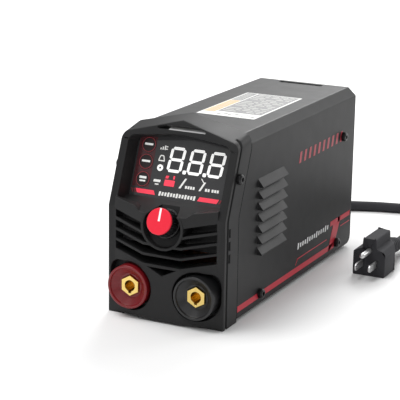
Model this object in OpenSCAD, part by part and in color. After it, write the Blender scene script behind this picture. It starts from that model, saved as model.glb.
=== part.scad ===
// Portable stick welding inverter: a sheet steel case on a moulded front panel
// with a raked display, a current knob and two quick-fit output sockets.
// +Z is up, +Y runs from the front to the back, the floor is z = 0.
// Every sub-part is drawn with the front frame's face at y = 0, then moved
// back by front_y, so that the case stands centred on the origin.

/* [Case] */
// Width across the steel sides
body_w = 105; // [100:0.5:130]
// Height of the flat top of the steel cover
body_h = 151.6; // [144:0.1:185]
// Length from the front frame to the back edge of the cover
body_l = 273.7; // [262:0.1:340]
// Thickness of the sheet steel
sheet_t = 1.2; // [0.8:0.1:2]
// Gap left between pieces that are assembled against each other
fit_gap = 0.3; // [0.2:0.05:0.5]
// Height of the steel case above the floor
ground_gap = 3.3; // [2:0.1:6]

/* [Front panel] */
// Depth of the moulded front panel from its face to the steel cover
panel_depth = 25; // [22:0.5:34]
// Angle by which the upper face leans back
rake = 22; // [16:1:26]
// Height at which the face starts to lean back
knee_z = 90.7; // [88:0.1:95]
// Width of the rim round the display and the grille
rim_w = 6.2; // [4:0.1:9]
// How far the lower face bulges in front of the rim
bulge = 6.5; // [3:0.1:8]
// Depth of the display below the raked face
recess_depth = 13.7; // [10:0.1:15]
// Height of the brow's peak above the flat top of the cover
brow_rise = 9.1; // [7:0.1:12]
// Height of one grille slot
slot_h = 6.6; // [5:0.1:7]
// Thickness of one grille rib
rib_t = 2.2; // [1.6:0.1:3]

/* [Knob and buttons] */
// Radius of the current knob
knob_r = 11.2; // [8:0.1:13]
// Length of the knob from the bowl floor to its red face
knob_len = 17; // [14:0.1:19]
// Radius of the bowl that the knob stands in
bowl_r = 16.6; // [14.6:0.1:17]
// Radius of the knob's spindle
spindle_r = 3; // [2.5:0.1:3.5]
// Radius of one display button
button_r = 6.2; // [4.5:0.1:6.4]
// Travel of one display button
button_travel = 0.6; // [0.4:0.1:0.9]

/* [Output sockets] */
// Distance of a socket's axis from the side of the case
socket_edge = 22.5; // [21.5:0.1:25]
// Height of the socket axes
socket_z = 26.4; // [24:0.1:30]
// Outer radius of a socket collar
collar_r = 18.1; // [15:0.1:19]
// Radius of the bore that takes the cable plug
bore_r = 4.5; // [3.5:0.1:5.5]
// Depth of that bore
bore_len = 20; // [16:0.5:24]
// Width across the flats of the brass insert
insert_af = 15.3; // [14:0.1:17]

/* [Cooling and mains] */
// Side length of the square fan
fan_size = 80; // [70:1:92]
// Thickness of the fan
fan_depth = 25; // [20:1:30]
// Height of the fan's axis
fan_z = 98; // [94:0.5:104]
// Length of the cable gland behind the case
gland_out = 34.5; // [28:0.5:40]
// Diameter of the mains cable
cord_d = 10; // [9:0.1:11]

/* [Hidden] */

$fn = 64;

// --- shared sizes -----------------------------------------------------------

half_w = body_w / 2;
inner_w = half_w - sheet_t;
tan_rake = tan(rake);

// steel cover
chamfer_h = 7.1;
chamfer_w = 7.8;
bend_r = 2.2;
rear_corner_r = 8;

// front panel
panel_wall = 3;
foot_rise = 1.6;
foot_half = 38;
rear_knee_z = knee_z - 2.7;
brow_back_y = panel_depth + 21;
rear_knee_top = rear_knee_z + (brow_back_y - panel_depth) / tan_rake;
brow_peak_z = body_h + brow_rise;
brow_peak_y = (brow_peak_z - knee_z) * tan_rake;
brow_slope = 0.235;
brow_tilt = 11;
brow_corner_r = 7;
brow_lip = 1;
top_limit = brow_peak_z + 20;
cavity_y = 11;
cavity_top = body_h - 4.6;

// grille: slots in the lower face, dipping towards the middle
chevron_x = 17;
chevron_fall = 6.6;
grille_half = half_w - rim_w - 0.8;
grille_top = knee_z - 2.7;
grille_slots = 4;
grille_bottom = grille_top - grille_slots * slot_h - (grille_slots - 1) * rib_t;
rib_depth = 6;

// display recess, in the raked face's own frame: x across, v up, n outwards
recess_half = half_w - rim_w;
recess_low = -4;
peak_v = (brow_peak_z - knee_z) / cos(rake);
recess_peak = peak_v - 12;
recess_side = recess_peak - 5.3;
recess_inset = 3;
glass_half = recess_half - recess_inset;
glass_low = 12.3;
glass_t = 1.5;
glass_lap = 1.5;

// shelf below the display
shelf_back_y = glass_low * sin(rake) + recess_depth * cos(rake) + 0.3;
shelf_back_z = knee_z + glass_low * cos(rake) - recess_depth * sin(rake);
shelf_fall = 0.27;
wing_t = 3.5;
wing_out_z = knee_z + 7.3;
wing_mid_z = knee_z + 3.8;
wing_in_z = knee_z - 0.2;

// knob: its axis leaves the bowl floor at right angles to the raked face
ring_z = knee_z - 10.7;
ring_wall = 2.4;
ring_front = bulge + 0.5;
floor_y = 4;
floor_z = ring_z + 0.6;
floor_t = 3;
knob_gap = 0.6;
cap_t = 2.2;
cap_r = knob_r - 0.4;
pointer_w = 1.7;
spindle_slip = 0.05;
bushing_r = spindle_r + 0.6;
pot_r = 8.5;
pot_len = 9;

// sockets
socket_x = half_w - socket_edge;
pocket_r = collar_r + 2.2;
pocket_corner_x = half_w - 2.2;
pocket_top = socket_z + 19.6;
pocket_y = 8;
collar_front = 9;
collar_wall = 2.2;
dish_depth = 6;
shank_r = 12;
shank_end = 22;
insert_front = 4.6;
stud_r = 6;
stud_end = 33;
bar_t = 2;
nut_af = 18;
nut_t = 6;
keyway_w = 2.6;
keyway_d = 1.6;

// display buttons and what stands behind the display window
button_v = [54.3, 40.3, 25.8];
button_x = -(glass_half - 10.3);
button_slip = 0.25;
button_proud = 0.4;
board_n = -recess_depth - 7.3;
board_t = 1.6;
switch_h = 3;
digits_x1 = glass_half - 5.8;
digits_w = 51.5;

// side louvres
louvre_n = 7;
louvre_pitch = 9.55;
louvre_top = knee_z + 21.8;
louvre_y = panel_depth + 35;
louvre_len = 51;
louvre_out = 5;
louvre_h = 7.5;

// screws in each side: distance along the case, height
front_screw = [22.3, 120.3];
low_screw_z = 12.5;
cover_screws = [
  [panel_depth + 43.1, low_screw_z],
  [body_l - 37.7, low_screw_z],
  [body_l - 29.5, 111.1]
];
screw_head_r = 4.3;
screw_head_h = 4;
screw_r = 2;
screw_len = 5;
screw_slip = 0.15;

// rear panel, fan and strap slots
rear_t = 2.5;
rear_y = body_l - 1;
strap_half = 21.5;
strap_gap = 9.9;
strap_slot_h = 3.3;
strap_slot_y = body_l - 10.4;
strap_slot_w = 5.4;
fan_bore = fan_size / 2 - 1.8;
fan_hole = fan_size / 2 - 4.25;
fan_y = rear_y - rear_t - fan_depth;
hub_r = 17;
blade_n = 7;
switch_x = 22;
switch_z = 31;
switch_hw = 11.4;
switch_hh = 14.6;
rocker_clear = 0.5;
gland_x = -28;
gland_z = 28;
gland_r = 8;
gland_tip_r = cord_d / 2 + 1.3;
gland_end = body_l + gland_out;

// inner parts
board_z = 12;
board_y0 = panel_depth + 23;
board_y1 = fan_y - 9;
board_half = inner_w - 5;
board_top = board_z + board_t;
floor_top = ground_gap + sheet_t;

// place of the case: the knob is its foremost point, the gland its rearmost
knob_front_y = floor_y - knob_len * cos(rake) - cap_r * sin(rake);
front_y = -(knob_front_y + gland_end) / 2;

// mains cable: points on its centreline from the gland to the coil, then from
// the coil to the plug, chosen by hand on the floor behind and beside the case
lead_route = [
  [-28, 162.1, 28], [-28, 172, 27.5], [-27, 183, 25], [-24.5, 195, 20.5],
  [-20, 207, 15.5], [-13.5, 219, 11], [-5, 230, 7.5], [5, 239, 5.6],
  [17, 246, 5], [32, 252, 5], [50, 257, 5], [70, 262, 5],
  [90, 266.5, 5], [110, 271, 5], [131, 275.6, 5], [152, 278.5, 5]
];
tail_route = [
  [152, 158.5, 25], [138, 158, 25], [125, 154.5, 22.2], [114, 148.5, 17.8],
  [106.2, 139.5, 13.2], [103, 128.5, 10.7], [102.2, 118.5, 10.4]
];
coil_at = [152, 216];
coil_inner = 37.5;
coil_outer = 67.5;
coil_h = 30;
tie_t = 1.2;
tie_w = 16;

// plug: its front face looks towards -Y and it lies flat on the floor
plug_at = [102.2, 46];
plug_half = 15;
plug_len = 36;
blade_gap = 12.7;
blade_w = 1.5;
blade_h = 6.35;
blade_len = 17;
blade_z = 11.5;
pin_r = 2.4;
pin_root_r = 2;
pin_len = 20;
pin_z = blade_z + 11.9;
relief_len = 37;

// --- helpers ----------------------------------------------------------------

// Points of an arc of radius r that rounds the corner b between a and c.
function fillet(a, b, c, r, n = 6) =
  let (
    u = (a - b) / norm(a - b),
    w = (c - b) / norm(c - b),
    half = acos(min(1, max(-1, u * w))) / 2,
    mid = b + (u + w) / norm(u + w) * r / sin(half),
    p = b + u * r / tan(half),
    q = b + w * r / tan(half),
    s = atan2(p.y - mid.y, p.x - mid.x),
    e = atan2(q.y - mid.y, q.x - mid.x),
    turn = ((e - s + 540) % 360) - 180
  )
  [for (i = [0:n]) mid + r * [cos(s + turn * i / n), sin(s + turn * i / n)]];

// Outline with each corner rounded by its own radius; 0 leaves it sharp.
function rounded(pts, radii, n = 6) =
  [for (i = [0:len(pts) - 1])
    let (a = pts[(i + len(pts) - 1) % len(pts)], b = pts[i], c = pts[(i + 1) % len(pts)])
    each (radii[i] == 0 ? [b] : fillet(a, b, c, radii[i], n))];

function flip(pts) = [for (i = [len(pts) - 1:-1:0]) pts[i]];

// V-shaped line across the face at height z, lower by fall in the middle
function chevron(z) = [
  [-grille_half, z], [-chevron_x, z - chevron_fall],
  [chevron_x, z - chevron_fall], [grille_half, z]
];

// Outline of the steel cover's cross-section, inset by d
function cover_outline(d, low) = rounded([
  [-(half_w - d), low], [half_w - d, low],
  [half_w - d, body_h - chamfer_h - d * 0.41],
  [half_w - chamfer_w - d * 0.41, body_h - d],
  [-(half_w - chamfer_w - d * 0.41), body_h - d],
  [-(half_w - d), body_h - chamfer_h - d * 0.41]
], [0, 0, bend_r, bend_r, bend_r, bend_r], 3);

// Outline of the display opening in the raked face: half width, lower edge,
// and how far the top edge is raised
function recess_outline(half, low, rise) = rounded([
  [-half, low], [half, low], [half, recess_side + rise],
  [0, recess_peak + rise], [-half, recess_side + rise]
], [0, 0, 6, 24, 6]);

// Extrude an x-z outline from y0 to y1.
module slab(y0, y1) {
  translate([0, y1, 0]) rotate([90, 0, 0]) linear_extrude(y1 - y0) children();
}

// Extrude a y-z outline from x0 to x1.
module span(x0, x1) {
  translate([x0, 0, 0]) rotate([90, 0, 90]) linear_extrude(x1 - x0) children();
}

// Frame of the raked face: x across, y up the face, z outwards.
module on_rake() {
  translate([0, 0, knee_z]) rotate([90 - rake, 0, 0]) children();
}

// Frame of the knob: z along its axis, outwards from the bowl floor.
module on_knob() {
  translate([0, floor_y, floor_z]) rotate([90 - rake, 0, 0]) children();
}

// Move a sub-part from the front frame's own place to its place in the object.
module placed() {
  translate([0, front_y, 0]) children();
}

// Cylinder along Y from y0 to y1.
module rod(r, y0, y1) {
  translate([0, y1, 0]) rotate([90, 0, 0]) cylinder(r = r, h = y1 - y0);
}

module box(x0, x1, y0, y1, z0, z1) {
  translate([x0, y0, z0]) cube([x1 - x0, y1 - y0, z1 - z0]);
}

module both_sides() {
  children();
  mirror([1, 0, 0]) children();
}

// Round tube swept along hand-placed points, with flat ends.
module swept_tube(pts, r, sides = 10) {
  n = len(pts);
  dirs = [for (i = [0:n - 1])
    let (d = pts[min(i + 1, n - 1)] - pts[max(i - 1, 0)]) d / norm(d)];
  ring = [for (i = [0:n - 1])
    let (
      t = i == 0 ? [0, 1, 0] : (i == n - 1 ? (pts[n - 1] - pts[n - 2]) / norm(pts[n - 1] - pts[n - 2]) : dirs[i]),
      side = cross(t, [0, 0, 1]) / norm(cross(t, [0, 0, 1])),
      up = cross(side, t)
    )
    each [for (k = [0:sides - 1])
      pts[i] + r * (cos(360 * k / sides) * side + sin(360 * k / sides) * up)]];
  walls = [for (i = [0:n - 2], k = [0:sides - 1])
    [i * sides + k, i * sides + (k + 1) % sides, (i + 1) * sides + (k + 1) % sides, (i + 1) * sides + k]];
  polyhedron(ring, concat(
    [flip([for (k = [0:sides - 1]) k])],
    walls,
    [[for (k = [0:sides - 1]) (n - 1) * sides + k]]
  ), convexity = 6);
}

// --- front panel ------------------------------------------------------------

// Plan of the bulged lower face, back to y1
module bulge_plan(z0, z1, y1) {
  translate([0, 0, z0]) linear_extrude(z1 - z0) polygon([
    [-recess_half, y1], [-recess_half, 0], [-chevron_x, -bulge],
    [chevron_x, -bulge], [recess_half, 0], [recess_half, y1]
  ]);
}

// Prism under the roof-shaped brow, inset by d all round
module brow_prism(d) {
  x = half_w - d;
  corner = -brow_slope * x - d;
  translate([0, brow_peak_y, brow_peak_z]) rotate([brow_tilt, 0, 0])
    slab(-80, 60) polygon(rounded([
      [-x, -200], [x, -200], [x, corner], [0, -d], [-x, corner]
    ], [0, 0, brow_corner_r, 0, brow_corner_r]));
}

module panel_side_profile() {
  polygon([
    [0, 0], [panel_depth, 0], [panel_depth, rear_knee_z], [brow_back_y, rear_knee_top],
    [brow_back_y, top_limit], [(top_limit - knee_z) * tan_rake, top_limit], [0, knee_z]
  ]);
}

// Thin groove behind the rim, parallel to the front edge
module panel_groove() {
  g0 = 4.2;
  g1 = 6.6;
  difference() {
    span(-half_w - 1, half_w + 1) polygon([
      [g0, -1], [g1, -1], [g1, knee_z - 1], [(top_limit - knee_z) * tan_rake + g1 + 0.6, top_limit],
      [(top_limit - knee_z) * tan_rake + g0 + 0.4, top_limit], [g0, knee_z - 0.8]
    ]);
    brow_prism(1.6);
    box(-recess_half, recess_half, 0, brow_back_y, cavity_top, top_limit);
  }
}

// Three short vents in each side, just behind the groove
module panel_side_vents() {
  both_sides() for (z = [58, 68.5, 79])
    box(half_w - 1.8, half_w + 1, 7.6, 10.4, z - 3.6, z + 3.6);
}

// Hollow behind the face, open to the back
module panel_cavity() {
  span(-half_w + panel_wall, half_w - panel_wall) polygon([
    [cavity_y, floor_top + fit_gap], [cavity_y, grille_bottom + 3], [shelf_back_y, grille_bottom + 11],
    [shelf_back_y, shelf_back_z], [shelf_back_y + (cavity_top - 3.5 - shelf_back_z) * tan_rake, cavity_top - 3.5],
    [brow_back_y + 1, cavity_top - 3.5], [brow_back_y + 1, floor_top + fit_gap]
  ]);
}

module recess_cut() {
  on_rake() {
    hull() {
      translate([0, 0, 6]) linear_extrude(1) polygon(recess_outline(recess_half + 0.6, recess_low, 0));
      translate([0, 0, -recess_depth]) linear_extrude(0.1) polygon(recess_outline(glass_half, recess_low, 1.8));
    }
    translate([0, 0, -recess_depth - 8]) linear_extrude(10) polygon(recess_outline(glass_half, glass_low, 1.8));
  }
}

// Pocket that the display window is set into from behind
module window_pocket() {
  lap = glass_lap + fit_gap;
  on_rake() translate([0, 0, -recess_depth - 8]) linear_extrude(8)
    polygon(recess_outline(glass_half + lap, glass_low - lap, 1.8 + lap));
}

// Shelf below the display, with a raised wing on each side of the knob
module panel_shelf() {
  under_shelf = [
    [-20, grille_top - 20], [shelf_back_y, grille_top - 20],
    [shelf_back_y, shelf_back_z], [-20, shelf_back_z - (shelf_back_y + 20) * shelf_fall]
  ];
  intersection() {
    slab(-bulge - 2, shelf_back_y) polygon(concat(chevron(grille_top), [
      [recess_half + 1, grille_top], [recess_half + 1, knee_z + 12],
      [-recess_half - 1, knee_z + 12], [-recess_half - 1, grille_top]
    ]));
    bulge_plan(grille_top - 12, knee_z + 14, shelf_back_y);
    span(-half_w, half_w) polygon(under_shelf);
  }
  intersection() {
    slab(-bulge - 2, wing_t) polygon(concat(chevron(grille_top), [
      [recess_half + 1, grille_top], [recess_half + 1, wing_out_z], [recess_half, wing_out_z],
      [26, wing_mid_z], [21, wing_in_z], [-21, wing_in_z], [-26, wing_mid_z],
      [-recess_half, wing_out_z], [-recess_half - 1, wing_out_z], [-recess_half - 1, grille_top]
    ]));
    bulge_plan(grille_top - 12, knee_z + 14, wing_t);
  }
}

module panel_ribs() {
  intersection() {
    union() for (k = [1:grille_slots - 1]) {
      top = grille_top - k * slot_h - (k - 1) * rib_t;
      slab(-bulge - 1, rib_depth) polygon(concat(chevron(top), flip(chevron(top - rib_t))));
    }
    bulge_plan(grille_bottom - 12, grille_top, rib_depth);
  }
}

// Outline of the pocket round one socket
module pocket_shape() {
  translate([socket_x, socket_z]) circle(r = pocket_r);
  polygon(rounded([
    [socket_x, socket_z], [pocket_corner_x, socket_z],
    [pocket_corner_x, pocket_top], [socket_x, pocket_top]
  ], [0, 0, 9, 0]));
}

module bowl_cut() {
  intersection() {
    translate([0, 0, ring_z]) rod(bowl_r, -20, 30);
    on_knob() translate([-30, -30, 0]) cube([60, 60, 50]);
  }
  on_knob() {
    translate([0, 0, -floor_t - 1]) cylinder(r = bushing_r + fit_gap, h = floor_t + 2);
    translate([0, 0, -floor_t - 30]) cylinder(r = pot_r + 3, h = 30);
  }
}

// Ramp in the brow's slot that the strap hooks over, free at its left end
module strap_bar() {
  z0 = body_h + 0.7;
  y0 = (z0 - knee_z) * tan_rake + 0.3;
  span(strap_gap - strap_half, strap_half + 0.5)
    polygon([[y0, z0 - 0.5], [y0 + 7, z0 - 0.5], [y0 + 7, z0 + 1.7], [y0, z0]]);
}

module front_panel() color("#2b2c2e") placed() difference() {
  union() {
    difference() {
      union() {
        intersection() {
          span(-half_w, half_w) panel_side_profile();
          brow_prism(0);
        }
        bulge_plan(foot_rise, knee_z - 1, 2);
      }
      recess_cut();
      slab(-bulge - 2, cavity_y + 1) polygon(concat(chevron(grille_top), flip(chevron(grille_bottom))));
      panel_cavity();
      panel_groove();
      panel_side_vents();
      // strap slot through the brow
      intersection() {
        box(-strap_half, strap_half, 0, brow_back_y + 2, body_h + 0.7, body_h + 0.7 + strap_slot_h);
        translate([0, 0, -brow_lip]) brow_prism(0);
      }
      // the middle of the base is raised between two feet
      box(-foot_half, foot_half, -bulge - 2, brow_back_y, -1, foot_rise);
    }
    panel_shelf();
    panel_ribs();
    strap_bar();
    translate([0, 0, ring_z]) intersection() {
      rod(bowl_r + ring_wall, -ring_front, shelf_back_y);
      box(-30, 30, -20, 40, -30, wing_in_z - ring_z);
    }
  }
  window_pocket();
  bowl_cut();
  both_sides() {
    slab(-bulge - 2, pocket_y) pocket_shape();
    translate([socket_x, 0, socket_z]) rod(shank_r + fit_gap, 0, cavity_y + 1);
    translate([half_w - screw_len - 0.5, front_screw.x, front_screw.y]) rotate([0, 90, 0])
      cylinder(r = screw_r + screw_slip, h = screw_len + 1);
  }
  // notch under the grille
  slab(-bulge - 2, cavity_y + 1) polygon([
    [-12.5, grille_bottom - chevron_fall - 2.4], [12.5, grille_bottom - chevron_fall - 2.4],
    [0, grille_bottom - chevron_fall - 8.6]
  ]);
}

// --- display ----------------------------------------------------------------

module display_window() color("#101214") placed() on_rake() difference() {
  translate([0, 0, -recess_depth - glass_t]) linear_extrude(glass_t - 0.05)
    polygon(recess_outline(glass_half + glass_lap, glass_low - glass_lap, 1.8 + glass_lap));
  for (v = button_v) translate([button_x, v, -recess_depth - 5])
    cylinder(r = button_r + button_slip, h = 10);
}

module display_button(i) placed() on_rake() translate([button_x, button_v[i], 0]) {
  translate([0, 0, -recess_depth - glass_t - 0.2])
    cylinder(r = button_r, h = glass_t + 0.2 + button_proud);
  translate([0, 0, board_n + switch_h + button_travel + 0.2])
    cylinder(r = 2, h = -recess_depth - glass_t - board_n - switch_h - button_travel - 0.2);
}

module button_upper() color("#1c1516") display_button(0);
module button_middle() color("#1c1516") display_button(1);
module button_lower() color("#1c1516") display_button(2);

module display_board() color("#14532d") placed() on_rake()
  translate([0, 0, board_n - board_t]) linear_extrude(board_t) polygon([
    [-glass_half, glass_low + 2], [glass_half, glass_low + 2],
    [glass_half, recess_side - 4], [-glass_half, recess_side - 4]
  ]);

module led_digits() color("#e8e8e4") placed() on_rake()
  translate([digits_x1 - digits_w, 32.8, board_n])
    cube([digits_w, 24, -board_n - recess_depth - glass_t - 0.2]);

module button_switches() color("#3a3a3c") placed() on_rake() for (v = button_v)
  translate([button_x, v, board_n]) {
    translate([-3, -3, 0]) cube([6, 6, switch_h - 0.4]);
    cylinder(r = 1.6, h = switch_h);
  }

// --- knob -------------------------------------------------------------------

module knob_body() color("#171718") placed() on_knob() difference() {
  union() {
    translate([0, 0, knob_gap]) cylinder(r = knob_r + 0.8, h = 3);
    translate([0, 0, knob_gap + 3]) cylinder(r = knob_r, h = knob_len - cap_t - knob_gap - 3);
  }
  for (k = [0:19]) rotate([0, 0, k * 18]) translate([knob_r + 0.45, 0, knob_gap + 3])
    cylinder(r = 0.9, h = knob_len);
  translate([0, 0, -1]) cylinder(r = spindle_r + 0.02, h = knob_len - 3);
  cylinder(r = bushing_r + 1.2, h = 4.6);
}

module knob_cap() color("#e0303a") placed() on_knob() difference() {
  rotate_extrude() polygon([
    [0, knob_len - cap_t], [cap_r, knob_len - cap_t],
    [cap_r, knob_len - 0.5], [cap_r - 0.5, knob_len], [0, knob_len]
  ]);
  translate([-pointer_w / 2, 0, knob_len - 0.6]) cube([pointer_w, cap_r + 1, 1]);
}

module knob_pointer() color("#f4f4f2") placed() on_knob() intersection() {
  translate([-pointer_w / 2, 0, knob_len - 0.6]) cube([pointer_w, cap_r - 0.25, 0.6]);
  cylinder(r = cap_r - 0.25, h = knob_len);
}

module knob_spindle() color("#b8b9bb") placed() on_knob()
  translate([0, 0, -floor_t - pot_len + 2]) cylinder(r = spindle_r, h = knob_len + floor_t + pot_len - 6.5);

module potentiometer() color("#8f9092") placed() on_knob() difference() {
  union() {
    translate([0, 0, -floor_t - pot_len - 0.1]) cylinder(r = pot_r, h = pot_len);
    translate([0, 0, -floor_t - 0.2]) cylinder(r = bushing_r, h = floor_t + 3.6);
    for (k = [-1:1]) translate([k * 4 - 0.7, -pot_r - 1.2, -floor_t - 5]) cube([1.4, 4, 1]);
  }
  translate([0, 0, -floor_t - pot_len + 1.5]) cylinder(r = spindle_r + spindle_slip, h = 30);
}

// --- output sockets ---------------------------------------------------------

module at_socket(side) {
  translate([side * socket_x, 0, socket_z]) children();
}

// Moulded collar: a dished cup round the brass, a flange and a shank
module socket_collar(side) placed() at_socket(side) difference() {
  union() {
    rod(collar_r, -collar_front, pocket_y - 0.05);
    rod(shank_r, 0, shank_end);
  }
  translate([0, -collar_front + dish_depth, 0]) rotate([90, 0, 0]) rotate_extrude() polygon([
    [0, 0], [insert_af * 0.66, 0], [collar_r - collar_wall, dish_depth - 1.5],
    [collar_r - collar_wall, dish_depth + 1], [0, dish_depth + 1]
  ]);
  rotate([0, 30, 0]) rod((insert_af + 0.2) / sqrt(3), -collar_front, shank_end - 6, $fn = 6);
  rod(stud_r + 0.15, 0, shank_end + 1);
}

module socket_collar_left() color("#b3222c") socket_collar(-1);
module socket_collar_right() color("#1a1a1b") socket_collar(1);

// Brass insert: hexagon front, bore with a locking keyway, round stud behind
module socket_insert(side) placed() at_socket(side) difference() {
  union() {
    rotate([0, 30, 0]) translate([0, shank_end - 6, 0]) rotate([90, 0, 0])
      cylinder(r = insert_af / sqrt(3), h = shank_end - 6 + insert_front, $fn = 6);
    rod(stud_r, shank_end - 6.5, stud_end);
  }
  rod(bore_r, -insert_front - 1, bore_len - insert_front);
  box(-keyway_w / 2, keyway_w / 2, -insert_front - 1, bore_len - insert_front - 2, -bore_r - keyway_d, 0);
}

module socket_insert_left() color("#d8b24c") socket_insert(-1);
module socket_insert_right() color("#d8b24c") socket_insert(1);

module socket_nuts() color("#c9cacc") placed() for (side = [-1, 1]) at_socket(side) difference() {
  translate([0, shank_end + bar_t + nut_t + 0.1, 0]) rotate([90, 30, 0])
    cylinder(r = nut_af / sqrt(3), h = nut_t, $fn = 6);
  rod(stud_r + 0.1, shank_end, stud_end + 1);
}

// Copper bar from a socket stud down to the main board
module busbar(side) placed() difference() {
  union() {
    translate([side * socket_x, 0, 0]) {
      box(-8, 8, shank_end + 0.05, shank_end + 0.05 + bar_t, board_top + 0.05, socket_z + 10);
      box(-8, 8, shank_end + 0.05, board_y0 + 14, board_top + 0.05, board_top + 1.55);
    }
  }
  at_socket(side) rod(stud_r + 0.1, 0, shank_end + 10);
}

module busbar_left() color("#c77b4a") busbar(-1);
module busbar_right() color("#c77b4a") busbar(1);

// --- steel case -------------------------------------------------------------

// Removes what would run into the back edge of the front panel
module ahead_of_cover() {
  span(-half_w - 20, half_w + 20) polygon([
    [-30, -5], [panel_depth + fit_gap, -5], [panel_depth + fit_gap, rear_knee_z],
    [brow_back_y + fit_gap, rear_knee_top], [brow_back_y + fit_gap, top_limit], [-30, top_limit]
  ]);
}

module each_louvre() {
  both_sides() for (k = [0:louvre_n - 1])
    translate([0, 0, louvre_top - louvre_h - k * louvre_pitch]) children();
}

module housing_cover() color("#36373a") placed() difference() {
  union() {
    intersection() {
      difference() {
        slab(panel_depth, body_l) polygon(cover_outline(0, ground_gap));
        slab(0, body_l + 1) polygon(cover_outline(sheet_t, ground_gap - 5));
      }
      span(-half_w, half_w) polygon(rounded([
        [0, ground_gap], [body_l, ground_gap], [body_l, body_h + 1], [0, body_h + 1]
      ], [0, rear_corner_r, 0, 0], 8));
    }
    each_louvre() slab(louvre_y, louvre_y + louvre_len) polygon([
      [half_w - 0.4, louvre_h], [half_w + louvre_out, 0.7], [half_w + louvre_out, 0], [half_w - 0.4, 0]
    ]);
  }
  each_louvre() slab(louvre_y + sheet_t, louvre_y + louvre_len - sheet_t) polygon([
    [inner_w - 1, louvre_h - 1.9], [half_w, louvre_h - 1.9],
    [half_w + louvre_out - sheet_t, 0.3], [half_w + louvre_out - sheet_t, -0.2], [inner_w - 1, -0.2]
  ]);
  ahead_of_cover();
  // strap slot in the top
  box(-strap_half, strap_half, strap_slot_y, strap_slot_y + strap_slot_w, body_h - 5, body_h + 1);
  both_sides() for (p = cover_screws) translate([half_w - 3, p.x, p.y]) rotate([0, 90, 0])
    cylinder(r = screw_r + screw_slip, h = 5);
}

module base_plate() color("#3a3b3e") placed() difference() {
  x = inner_w - fit_gap;
  y0 = panel_depth + 1;
  y1 = rear_y - rear_t - fit_gap;
  wall_top = low_screw_z + 7;
  union() {
    box(-x, x, y0, y1, ground_gap, floor_top);
    both_sides() box(x - sheet_t, x, y0, y1 - rear_corner_r, ground_gap, wall_top);
  }
  both_sides() for (p = [cover_screws[0], cover_screws[1]])
    translate([x - 3, p.x, p.y]) rotate([0, 90, 0]) cylinder(r = screw_r - 0.1, h = 5);
  for (k = [0:5]) box(-22, 22, y0 + 60 + k * 16, y0 + 66 + k * 16, 0, floor_top + 1);
}

module fan_screw_places() {
  for (x = [-fan_hole, fan_hole], z = [-fan_hole, fan_hole]) translate([x, 0, fan_z + z]) children();
}

module rear_panel() color("#242527") placed() difference() {
  x = inner_w - fit_gap;
  y0 = rear_y - rear_t;
  union() {
    slab(y0, rear_y) polygon(cover_outline(sheet_t + fit_gap, ground_gap + rear_corner_r * 0.35));
    // side flanges that take the upper screws
    both_sides() box(x - 2, x, cover_screws[2].x - 7, y0 + 1, cover_screws[2].y - 10, cover_screws[2].y + 10);
  }
  both_sides() translate([x - 3, cover_screws[2].x, cover_screws[2].y]) rotate([0, 90, 0])
    cylinder(r = screw_r - 0.1, h = 5);
  translate([0, 0, fan_z]) rod(fan_bore, y0 - 1, rear_y + 1);
  fan_screw_places() rod(screw_r + screw_slip, y0 - 1, rear_y + 1);
  box(switch_x - switch_hw - fit_gap, switch_x + switch_hw + fit_gap, y0 - 1, rear_y + 1,
    switch_z - switch_hh - fit_gap, switch_z + switch_hh + fit_gap);
  translate([gland_x, 0, gland_z]) rod(gland_r + fit_gap, y0 - 1, rear_y + 1);
  // way out for the strap, below the top edge
  box(-strap_half, strap_half, y0 - 1, rear_y + 1, body_h - 7.4, body_h - 2.6);
}

module rear_feet() color("#1d1d1e") placed() for (x = [-1, 1]) translate([x * (half_w - 16), body_l - 34, 0])
  rotate_extrude() polygon([[0, 0], [6.4, 0], [7, 0.8], [7, ground_gap - 0.02], [0, ground_gap - 0.02]]);

module side_screw(y, z, x) {
  translate([x + 0.05, y, z]) rotate([0, 90, 0]) difference() {
    union() {
      rotate_extrude() polygon([
        [0, 0], [screw_head_r, 0], [screw_head_r, screw_head_h - 1.2],
        [screw_head_r - 1.1, screw_head_h], [0, screw_head_h]
      ]);
      translate([0, 0, -screw_len]) cylinder(r = screw_r - 0.15, h = screw_len + 0.5);
    }
    translate([0, 0, screw_head_h - 2]) cylinder(r = 2, h = 3, $fn = 6);
  }
}

module side_screws() color("#161617") placed() both_sides() {
  side_screw(front_screw.x, front_screw.y, half_w);
  for (p = cover_screws) side_screw(p.x, p.y, half_w);
}

// --- fan --------------------------------------------------------------------

module fan_frame() color("#1b1b1c") placed() translate([0, 0, fan_z]) difference() {
  union() {
    difference() {
      slab(fan_y, fan_y + fan_depth) polygon(rounded([
        [-fan_size / 2, -fan_size / 2], [fan_size / 2, -fan_size / 2],
        [fan_size / 2, fan_size / 2], [-fan_size / 2, fan_size / 2]
      ], [4, 4, 4, 4], 4));
      rod(fan_bore, fan_y - 1, fan_y + fan_depth + 1);
    }
    rod(hub_r, fan_y, fan_y + 2.5);
    for (k = [0:3]) rotate([0, 45 + k * 90, 0]) box(hub_r - 2, fan_bore + 1, fan_y, fan_y + 2.5, -2, 2);
  }
  for (x = [-fan_hole, fan_hole], z = [-fan_hole, fan_hole]) translate([x, 0, z])
    rod(screw_r + screw_slip, fan_y - 1, fan_y + fan_depth + 1);
  rod(2.05, fan_y - 1, fan_y + 3);
}

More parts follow.
